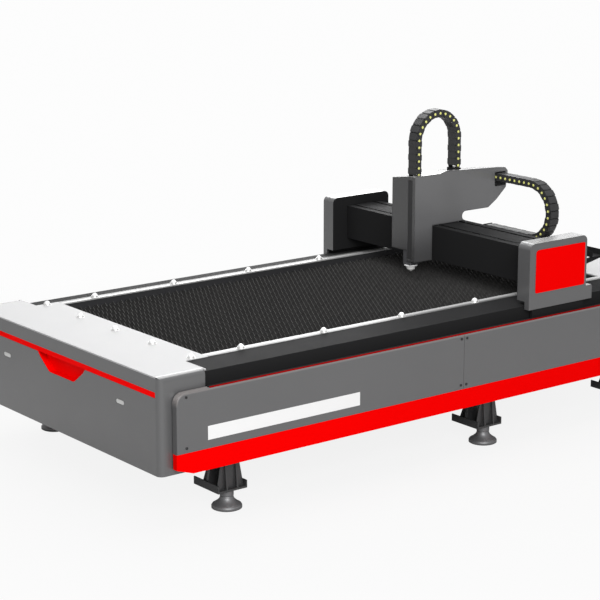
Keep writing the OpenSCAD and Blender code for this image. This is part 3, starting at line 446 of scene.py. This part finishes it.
f = painted("grey powder coat with band", GREY, 0.40, coat=1.0, form=rounded_rim)
lo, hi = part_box("side_panels")
in_length = (f.x > BAND["x0"]) * (f.x < BAND["x1"])
in_band = in_length * (f.z > BAND["z0"]) * (f.z < BAND["z1"])
near_top = ((f.z - (hi.z - RIM_DROP)) / RIM_FADE).clamp()
# Painted highlight: a lighter line along the fold near the top edge.
rim_highlight = (1 - inward(f) / RIM_WIDE).clamp() * near_top
coat = f.blend(rim_highlight * RIM_SHARE, f.colour(), (0.235, 0.215, 0.21))
f.feed("Base Color", f.blend(in_band, coat, (0.74, 0.74, 0.74)))
dress("side_panels", f)
print("band", BAND)

# %% [markdown]
# ## Small pieces on marks
# Feet, latches, rack teeth, chain lips and pin caps are the same piece more than
# once. A Geometry Nodes tree puts one copy on each mark and turns it to the
# mark's own direction. The marks are plain points with a vector called aim, and
# the tree ends in one real mesh with its finish set.

# %% The stamping tree
def stamp_tree():
    """Marks, a piece and a finish go in, and one mesh of copies comes out."""
    tree = bpy.data.node_groups.new("stamp pieces on marks", "GeometryNodeTree")
    for name, kind in (("Marks", "Geometry"), ("Piece", "Object"), ("Finish", "Material")):
        tree.interface.new_socket(name, in_out="INPUT", socket_type="NodeSocket" + kind)
    tree.interface.new_socket("Geometry", in_out="OUTPUT", socket_type="NodeSocketGeometry")
    new, link = tree.nodes.new, tree.links.new
    start, end = new("NodeGroupInput"), new("NodeGroupOutput")
    info, aim = new("GeometryNodeObjectInfo"), new("GeometryNodeInputNamedAttribute")
    aim.data_type = "FLOAT_VECTOR"
    aim.inputs["Name"].default_value = "aim"
    turn, put = new("FunctionNodeAlignRotationToVector"), new("GeometryNodeInstanceOnPoints")
    turn.axis = "Z"
    real, coat = new("GeometryNodeRealizeInstances"), new("GeometryNodeSetMaterial")
    link(start.outputs["Piece"], info.inputs["Object"])
    link(aim.outputs["Attribute"], turn.inputs["Vector"])
    link(start.outputs["Marks"], put.inputs["Points"])
    link(info.outputs["Geometry"], put.inputs["Instance"])
    link(turn.outputs["Rotation"], put.inputs["Rotation"])
    link(put.outputs["Instances"], real.inputs["Geometry"])
    link(real.outputs["Geometry"], coat.inputs["Geometry"])
    link(start.outputs["Finish"], coat.inputs["Material"])
    link(coat.outputs["Geometry"], end.inputs["Geometry"])
    return tree


STAMP = stamp_tree()
print("stamp inputs:", [s.name for s in STAMP.interface.items_tree if s.in_out == "INPUT"])


# %% Turn marks into one plain mesh on one body
def stamp(name, marks, piece, slot, body, finish=None):
    """Each mark is a point and the direction that its copy faces."""
    points, directions = zip(*marks)
    mesh = bpy.data.meshes.new(name)
    mesh.from_pydata(points, [], [])
    aims = mesh.attributes.new("aim", "FLOAT_VECTOR", "POINT")
    aims.data.foreach_set("vector", np.array(directions, np.float32).ravel())
    seed = bpy.data.objects.new(name + "_marks", mesh)
    bpy.context.scene.collection.objects.link(seed)
    grow = seed.modifiers.new("stamp", "NODES")
    grow.node_group = STAMP
    given = {"Piece": piece, "Finish": (finish or finishes[slot]).material}
    for item in STAMP.interface.items_tree:
        if item.in_out == "INPUT" and item.name in given:
            grow[item.identifier] = given[item.name]
    graph = bpy.context.evaluated_depsgraph_get()
    plain = bpy.data.meshes.new_from_object(seed.evaluated_get(graph))
    bpy.data.objects.remove(seed)
    made = bpy.data.objects.new(name, plain)
    bpy.context.scene.collection.objects.link(made)
    if body:
        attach(made, body)
    print(f"{name}: {len(marks)} copies, {len(plain.polygons)} faces")
    return made


# %% [markdown]
# ## Prototypes
# A prototype is drawn once at the origin, with +Z as the way it faces, and stays
# out of the scene. The aim of a mark says where that +Z points on the machine.

# %% Turned prototypes
UP, BACK = (0, 0, 1), (1, 0, 0)


def prototype(name, build):
    """An object with the mesh that the function build draws."""
    bm = bmesh.new()
    build(bm)
    bmesh.ops.recalc_face_normals(bm, faces=bm.faces)
    mesh = bpy.data.meshes.new(name)
    bm.to_mesh(mesh)
    bm.free()
    return bpy.data.objects.new(name, mesh)


def skin(bm, loops):
    """Walls between loops of equally many points, and a face at both ends."""
    for low, high in zip(loops, loops[1:]):
        for i in range(len(low)):
            j = (i + 1) % len(low)
            bm.faces.new((low[i], low[j], high[j], high[i]))
    bm.faces.new(loops[0])
    bm.faces.new(loops[-1])


def rings(bm, profile, sides):
    """Joins circles of (radius, height) into a shell, closed at both ends."""
    angles = [2 * math.pi * i / sides for i in range(sides)]
    loops = []
    for radius, height in profile:
        loops.append([bm.verts.new((radius * math.cos(a), radius * math.sin(a), height))
                      for a in angles])
    skin(bm, loops)


print("prototype helpers ready")

# %% [markdown]
# ## Feet
# A bracket plate is as wide as the main tube that it hangs from, and its stud
# stands near the outer edge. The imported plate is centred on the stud, so its
# copy is drawn out across the machine: everything outside a narrow strip at the
# stud moves by one factor towards the tube's outer face and by another towards
# its inner face. The plate also sits a little higher.

# %% A welded copy of one node
def welded_copy(node, name):
    """The node's mesh in place, with its loose triangles joined, in its stead."""
    mesh = nodes[node].data.copy()
    mesh.transform(nodes[node].matrix_world)
    bm = bmesh.new()
    bm.from_mesh(mesh)
    bmesh.ops.remove_doubles(bm, verts=bm.verts, dist=1e-6)
    bm.to_mesh(mesh)
    bm.free()
    made = bpy.data.objects.new(name, mesh)
    bpy.context.scene.collection.objects.link(made)
    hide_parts(node)
    return made


def repaint(obj, finish):
    """Puts a finish on a copy."""
    obj.data.materials.clear()
    obj.data.materials.append(finish.material)


# %% Brackets as wide as the main tube
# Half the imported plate, the stud's distance from the tube's outer face, the
# tube's width, and half the strip at the stud that keeps its shape.
HALF_PLATE, STUD_IN, TUBE_WIDE, KEEP = 0.100, 0.060, 0.240, 0.022
# Thickness of the plate, height of the flanges, and how far each is raised.
PLATE_THICK, PLATE_RISE = 0.012, 0.020
FLANGE_HIGH, FLANGE_RISE = 0.048, 0.017
TOUCH = 0.001  # a point this near to a height belongs to it
lo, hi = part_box("foot_brackets")
foot_y = hi.y - HALF_PLATE
tube_out = foot_y + STUD_IN
tube_in = tube_out - TUBE_WIDE
plate_top, flange_top = lo.z + PLATE_THICK, lo.z + FLANGE_HIGH
reach_out = (tube_out - foot_y - KEEP) / (HALF_PLATE - KEEP)
reach_in = (foot_y - tube_in - KEEP) / (HALF_PLATE - KEEP)
brackets = welded_copy("foot_brackets", "wide_foot_brackets")
for v in brackets.data.vertices:
    side = 1 if v.co.y > 0 else -1
    off = side * v.co.y - foot_y
    if off > KEEP:
        off = KEEP + (off - KEEP) * reach_out
    elif off < -KEEP:
        off = -KEEP + (off + KEEP) * reach_in
    v.co.y = side * (foot_y + off)
    if v.co.z < plate_top + TOUCH:
        v.co.z += PLATE_RISE
    elif abs(v.co.z - flange_top) < TOUCH:
        v.co.z += FLANGE_RISE
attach(brackets, "bed")
repaint(brackets, painted("bracket paint", (0.024, 0.024, 0.025), 0.45, coat=0.5, edge=0.003))
print(f"plates from y {tube_in:.3f} to {tube_out:.3f}")

# %% [markdown]
# ## The red trims over the side panels
# A red trim lies on each side panel's top edge. Only a thin line of it shows
# over the rounded edge, so a copy of the imported trim is pressed flatter. Its
# red is darkened as painted shade, and its inner part, in the shade of the rail
# cover, is painted black as painted shade.

# %% Thin top trims, with painted shade
# Height of the pressed trim, and the width of its red outer part.
TRIM_SHOWN, TRIM_RED = 0.006, 0.008
lo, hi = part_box("top_trims")
trims = welded_copy("top_trims", "thin_top_trims")
press = TRIM_SHOWN / (hi.z - lo.z)
for v in trims.data.vertices:
    v.co.z = lo.z + (v.co.z - lo.z) * press
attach(trims, "bed")
# Painted shade: the red is darkened to three tenths, and the inner part is painted black.
f = painted("red trim paint", shade(RED, 0.30), 0.5, drift=0.02, shine=0.01)
shaded_inner = (f.y * f.y) < (hi.y - TRIM_RED) ** 2
f.feed("Base Color", f.blend(shaded_inner, f.colour(), BLACK))
repaint(trims, f)
print("trim height", TRIM_SHOWN)

# %% [markdown]
# ## Cast bells and bosses
# A bell foot has the tall cone of a casting. A round boss over it carries the
# bracket's raised plate.

# %% Bells and bosses
BELL_TOP = 1.31  # where the boss starts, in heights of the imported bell
FOOT_X = (-1.606, 0.362, 1.606)
lo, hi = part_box("foot_brackets")
boss_top = lo.z + PLATE_RISE
lo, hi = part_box("bell_feet")
bell_r, bell_h = hi.y - foot_y, hi.z
print("bell radius and height:", round(bell_r, 4), round(bell_h, 4))


def bell(bm):
    """A cone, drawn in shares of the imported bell's radius and height."""
    profile = [(0.94, 0), (1, 0.05), (1, 0.3), (0.95, 0.42), (0.82, 0.54), (0.68, 0.7),
               (0.56, 0.86), (0.48, 1.04), (0.44, 1.2), (0.44, BELL_TOP)]
    rings(bm, [(bell_r * r, bell_h * h) for r, h in profile], sides=40)


def boss(bm):
    """A short cylinder with rounded rims, from the bell up to the plate."""
    low, radius, round_off = bell_h * BELL_TOP, 0.040, 0.003
    rings(bm, [(radius - round_off, low), (radius, low + round_off),
               (radius, boss_top - round_off), (radius - round_off, boss_top)], sides=40)


marks = [((x, s * foot_y, 0), UP) for x in FOOT_X for s in (-1, 1)]
bells = stamp("cast_bells", marks, prototype("bell", bell), "foot_iron", "bed")
for face in bells.data.polygons:
    face.use_smooth = True
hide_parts("bell_feet")
stamp("foot_bosses", marks, prototype("boss", boss), "foot_iron", "bed")

# %% [markdown]
# ## Latches of the front cover
# Two flush latches lie in oblong pressed seats of the front cover. Each is a
# bright domed plate that stays just under the face.

# %% Domed latch plates
# Depth of the seat, and where the middle of a latch is.
SEAT, LATCH_Y, LATCH_Z = 0.0016, 0.628, 0.638


def latch(bm):
    """An oblong dome on +Z, long along Y."""
    length, height, arc, top = 0.078, 0.024, 8, SEAT * 0.9
    straight = (length - height) / 2
    turns = [math.pi * i / arc - math.pi / 2 for i in range(arc + 1)]
    loops = []
    for shrink, up in ((1.0, 0.0), (1.0, 0.5), (0.85, 0.8), (0.6, 0.95), (0.3, 1.0)):
        r = height / 2 * shrink
        loop = []
        for end in (1, -1):
            for a in turns:
                place = (r * math.sin(end * a), end * (straight + r * math.cos(a)), top * up)
                loop.append(bm.verts.new(place))
        loops.append(loop)
    skin(bm, loops)


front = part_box("front_cover")[0].x
marks = [((front + SEAT, s * LATCH_Y, LATCH_Z), (-1, 0, 0)) for s in (-1, 1)]
stamp("cover_latches", marks, prototype("latch", latch), "zinc", "bed")

# %% [markdown]
# ## Rack teeth
# The gantry drives along two straight racks with module 2.5 teeth, and the
# carriage along one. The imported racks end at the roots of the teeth. A tooth
# is a short prism with sloping flanks, and it repeats at pi times the module.

# %% Teeth on the racks
MODULE, RACK_WIDE = 0.0025, 0.020
PITCH = math.pi * MODULE


def tooth(width, along):
    """A tooth on +Z. The rack runs along axis 0 or 1 of the prototype."""
    def build(bm):
        foot, tip, high, sunk = PITCH * 0.38, PITCH * 0.17, MODULE * 0.62, 0.0002
        profile = ((-foot, -sunk), (foot, -sunk), (tip, high), (-tip, high))
        ends = []
        for w in (-width / 2, width / 2):
            ends.append([bm.verts.new((u, w, v) if along == 0 else (w, u, v))
                         for u, v in profile])
        skin(bm, ends)
    return prototype("rack_tooth", build)


def tooth_places(low, high):
    """Middles of the teeth that fit between two ends of a rack."""
    count = int((high - low) / PITCH) - 1
    start = (low + high - (count - 1) * PITCH) / 2
    return [start + i * PITCH for i in range(count)]


lo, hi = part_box("x_racks")
x_places = tooth_places(lo.x, hi.x)
marks = [((x, s * (hi.y - RACK_WIDE / 2), hi.z), UP) for s in (-1, 1) for x in x_places]
stamp("x_rack_teeth", marks, tooth(RACK_WIDE, 0), "ground_steel", "bed")

lo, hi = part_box("y_rack")
marks = [((hi.x, y, (lo.z + hi.z) / 2), BACK) for y in tooth_places(lo.y, hi.y)]
stamp("y_rack_teeth", marks, tooth(RACK_WIDE, 1), "ground_steel", "gantry")

# %% [markdown]
# ## Cable chains
# A cable chain keeps its cables from bending too tightly. Its links pin
# together, and each pin ends in a pale cap. The half turn of the lying chain is
# a body of its own that moves at half the carriage's speed. Its two straight
# runs grow and shrink, and each is a welded copy of its links.

# %% The path of the links
# A link's length as planned, its height, the radius of its ears, and how far the
# ends of a pin are from the chain's middle.
LINK_LONG, LINK_H, EAR_R, PIN_END = 0.046, 0.050, 0.018, 0.041


def part_at(s, first, radius):
    """0 on the first straight run, 1 on the half turn and 2 on the last run."""
    if s < first:
        return 0
    return 1 if s < first + math.pi * radius else 2


def loop_point(s, first, radius):
    """Point in a loop's own plane: straight up, half a turn, straight down."""
    part = part_at(s, first, radius)
    if part == 0:
        return 0.0, s
    if part == 1:
        t = (s - first) / radius
        return radius - radius * math.cos(t), first + radius * math.sin(t)
    return 2 * radius, first - (s - first - math.pi * radius)


def pins(first, radius, last):
    """Pins along a loop with an odd number of links, and the part of each."""
    length = first + math.pi * radius + last
    count = 2 * round((length / LINK_LONG - 1) / 2) + 1
    step = length / count
    along = [i * step for i in range(count + 1)]
    return [(loop_point(s, first, radius), part_at(s, first, radius)) for s in along]


def links(first, radius, last):
    """Middle, outward normal, length and part of each link between two pins."""
    places = pins(first, radius, last)
    length = first + math.pi * radius + last
    step = length / (len(places) - 1)
    found = []
    for i, ((a, _), (b, _)) in enumerate(zip(places, places[1:])):
        du, dw = b[0] - a[0], b[1] - a[1]
        size = math.hypot(du, dw)
        middle = ((a[0] + b[0]) / 2, (a[1] + b[1]) / 2)
        part = part_at((i + 0.5) * step, first, radius)
        found.append((middle, (-dw / size, du / size), size, part))
    return found


# %% Pin caps
# Radius of a cap, how deep it is sunk, and the heights of its rim and its top.
CAP_R, CAP_SUNK, CAP_RIM, CAP_TOP = 0.0084, 0.0004, 0.0008, 0.0013


def pin_cap(bm):
    """A flat round cap with a sloping rim."""
    rings(bm, [(CAP_R, -CAP_SUNK), (CAP_R, CAP_RIM), (CAP_R * 0.75, CAP_TOP)], sides=14)


CAP_FINISH = moulded("pale pin cap", (0.72, 0.72, 0.22), 0.45)
CAP = prototype("pin_cap", pin_cap)
print("cap faces:", len(CAP.data.polygons))


# %% Lips that close the chain between its lids
# Width and thickness of a lip, its height over the middle, and its overlap.
LIP_W, LIP_T, LIP_UP, LIP_LAP = 0.0724, 0.0016, 0.0242, 0.001


def lip(length, along):
    """A thin plate with its outer face on +Z, long along axis 0 or 1."""
    def build(bm):
        half, wide = length / 2, LIP_W / 2
        u, w = (half, wide) if along == 0 else (wide, half)
        low = [bm.verts.new((x, y, -LIP_T)) for x, y in ((-u, -w), (u, -w), (u, w), (-u, w))]
        high = [bm.verts.new((v.co.x, v.co.y, 0)) for v in low]
        skin(bm, (low, high))
    return prototype("chain_lip", build)


# %% [markdown]
# ## From a loop's plane to the machine
# Both loops are walked in the same way, in a plane of their own. Each loop has
# two small functions. Place takes a point of the plane, and a distance across
# the chain, to the machine. Aim turns a direction in the same way.

# %% Marks for the caps and the lips of a loop
def cap_marks(path, place, aim):
    """Marks at both ends of every pin, sorted by the part of the loop."""
    parts = [[], [], []]
    for (u, w), part in pins(*path):
        for side in (-1, 1):
            parts[part].append((place(side * PIN_END, u, w), aim(side, 0, 0)))
    return parts


def lip_marks(path, place, aim):
    """Marks outside and inside every link, and the length of the last link."""
    parts = [[], [], []]
    for (u, w), (nu, nw), size, part in links(*path):
        for side in (-1, 1):
            up = side * LIP_UP
            at = place(0, u + nu * up, w + nw * up)
            parts[part].append((at, aim(0, side * nu, side * nw)))
    return parts, size


# %% A run of links as one welded copy
def bending_copy(node, a, b, start, end):
    """The links of one node as a welded copy, baked into place."""
    made = welded_copy(node, node + "_links")
    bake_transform(made)
    print(f"{node}: {len(made.data.polygons)} faces from {a} to {b}")


# %% The standing loop, from the roof to the head
ROOF_END_UP = 0.0293  # how much higher the loop ends on the carriage than at the head
lo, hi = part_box("z_chain")
z_mid = (lo.y + hi.y) / 2
z_near, z_far = lo.x + LINK_H / 2, hi.x - LINK_H / 2
z_radius = (z_far - z_near) / 2
z_start = lo.z + EAR_R
z_first = hi.z - LINK_H / 2 - z_radius - z_start
z_path = (z_first, z_radius, z_first - ROOF_END_UP)


def z_place(across, u, w):
    return z_near + u, z_mid + across, z_start + w


def z_aim(across, u, w):
    return u, across, w


ends = ("carriage", "head", (z_far, 0, 0), (z_near, 0, 0))
bending_copy("z_chain", *ends)
marks = sum(cap_marks(z_path, z_place, z_aim), [])
z_caps = stamp("z_chain_caps", marks, CAP, "head_white", None, CAP_FINISH)
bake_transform(z_caps)
lips, size = lip_marks(z_path, z_place, z_aim)
z_lip = lip(size + LIP_LAP, 0)
z_lips = stamp("z_chain_lips", sum(lips, []), z_lip, "chain_plastic", None)
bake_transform(z_lips)

# %% The lying loop: two runs and the half turn between them
BEND_Y = -0.300
up_lo, up_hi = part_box("y_chain_moving")
low_lo, low_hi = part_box("y_chain_fixed")
x_mid = (up_lo.x + up_hi.x) / 2
y_in, y_end = up_hi.y - EAR_R, low_hi.y - EAR_R
z_up, z_low = (up_lo.z + up_hi.z) / 2, (low_lo.z + low_hi.z) / 2
y_path = (y_in - BEND_Y, (z_up - z_low) / 2, y_end - BEND_Y)


def y_place(across, u, w):
    return x_mid + across, y_in - w, z_up - u


def y_aim(across, u, w):
    return across, -w, -u


moving = ("gantry", "carriage", (0, 2 * BEND_Y - y_in, 0), (0, y_in, 0))
fixed = ("gantry", "carriage", (0, y_end, 0), (0, 2 * BEND_Y - y_end, 0))
bending_copy("y_chain_moving", *moving)
bending_copy("y_chain_fixed", *fixed)
caps = cap_marks(y_path, y_place, y_aim)
moving_caps = stamp("moving_run_caps", caps[0], CAP, "head_white", None, CAP_FINISH)
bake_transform(moving_caps)
stamp("bend_caps", caps[1], CAP, "head_white", "chain_bend", CAP_FINISH)
fixed_caps = stamp("fixed_run_caps", caps[2], CAP, "head_white", None, CAP_FINISH)
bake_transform(fixed_caps)
lips, size = lip_marks(y_path, y_place, y_aim)
y_lip = lip(size + LIP_LAP, 1)
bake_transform(stamp("moving_run_lips", lips[0], y_lip, "chain_plastic", None))
stamp("bend_lips", lips[1], y_lip, "chain_plastic", "chain_bend")
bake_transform(stamp("fixed_run_lips", lips[2], y_lip, "chain_plastic", None))

# %% [markdown]
# ## Floor, light and camera
# The machine stands on a pale floor that runs into a white surround. Four large
# soft lamps and a bright room light it from all round, so every colour shows
# close to the way it is written.

# %% Floor
# How brightly the floor glows to the camera, the share of that glow under the
# machine, and how much the share gains with each square metre of distance.
GLOW, GLOW_NEAR, GLOW_GAIN = 0.98, 0.88, 0.006


def make_floor(size=240.0):
    """A square that shades a little under the machine and glows further out."""
    mesh = bpy.data.meshes.new("floor")
    h = size / 2
    mesh.from_pydata([(-h, -h, 0), (h, -h, 0), (h, h, 0), (-h, h, 0)], [], [(0, 1, 2, 3)])
    floor = bpy.data.objects.new("floor", mesh)
    bpy.context.scene.collection.objects.link(floor)
    f = Finish("pale floor")
    f.feed("Base Color", (0.45, 0.45, 0.45, 1))
    f.feed("Roughness", 0.9)
    glow = f.node("ShaderNodeEmission", {}, {"Color": (1, 1, 1, 1), "Strength": GLOW})
    seen = f.node("ShaderNodeLightPath", {}, {}, out="Is Camera Ray")
    far = ((f.x * f.x + f.y * f.y) * GLOW_GAIN + GLOW_NEAR).clamp()
    paint = Value(f, f.shader.outputs[0])
    both = f.node("ShaderNodeMixShader", {}, {0: seen * far, 1: paint, 2: glow})
    out = f.tree.nodes["Material Output"]
    f.tree.links.new(both.socket, out.inputs["Surface"])
    mesh.materials.append(f.material)
    print(f"floor {size:.0f} m wide")


make_floor()


# %% Room light
ROOM_ON_MACHINE, ROOM_SEEN = 0.50, 1.0


def make_world():
    """White all round, dimmer on the machine than where the camera sees it."""
    world = bpy.data.worlds.new("room")
    world.use_nodes = True
    bpy.context.scene.world = world
    tree = world.node_tree
    back = tree.nodes["Background"]
    back.inputs["Color"].default_value = (1, 1, 1, 1)
    path = tree.nodes.new("ShaderNodeLightPath")
    mix = tree.nodes.new("ShaderNodeMix")
    mix.inputs[2].default_value = ROOM_ON_MACHINE
    mix.inputs[3].default_value = ROOM_SEEN
    tree.links.new(path.outputs["Is Camera Ray"], mix.inputs[0])
    tree.links.new(mix.outputs[0], back.inputs["Strength"])
    print("room light on the machine:", ROOM_ON_MACHINE)


make_world()


# %% Lamps
def lamp(name, place, aim, size, watts, height=None):
    """A soft square lamp, or a rectangle where it is given a height."""
    data = bpy.data.lights.new(name, "AREA")
    data.size, data.energy = size, watts
    if height:
        data.shape, data.size_y = "RECTANGLE", height
    obj = bpy.data.objects.new(name, data)
    obj.visible_camera = False
    obj.location = place
    obj.rotation_euler = (Vector(aim) - Vector(place)).to_track_quat("-Z", "Y").to_euler()
    bpy.context.scene.collection.objects.link(obj)


lamp("key", place=(-5.2, -9.5, 5.6), aim=(0.2, 0, 0.8), size=6.0, watts=1050)
lamp("top", place=(0.6, 1.0, 7.5), aim=(0.3, 0, 0.8), size=6.0, watts=540)
lamp("back", place=(4.5, 7.0, 5.0), aim=(0.4, 0, 0.9), size=5.0, watts=300)
lamp("sheen", place=(6.6, 8.4, 3.3), aim=(0.4, 0.2, 1.0), size=9.0, watts=95, height=2.4)
print(len(bpy.data.lights), "lamps")

# %% Camera
LENS_MM, SENSOR_MM, SEES_TO = 116.63, 36.0, 400.0
EYE = (-7.64904, -9.40951, 3.73685)
LOOK_DOWN, LOOK_RIGHT = 0.2388819, 0.6594965  # radians from level and from +Y
camera_data = bpy.data.cameras.new("camera")
camera_data.lens = LENS_MM
camera_data.sensor_width = SENSOR_MM
camera_data.clip_end = SEES_TO
camera = bpy.data.objects.new("camera", camera_data)
camera.location = EYE
camera.rotation_euler = (math.pi / 2 - LOOK_DOWN, 0, -LOOK_RIGHT)
bpy.context.scene.collection.objects.link(camera)
bpy.context.scene.camera = camera
bpy.context.scene.view_settings.view_transform = "Standard"
print("camera at", EYE)
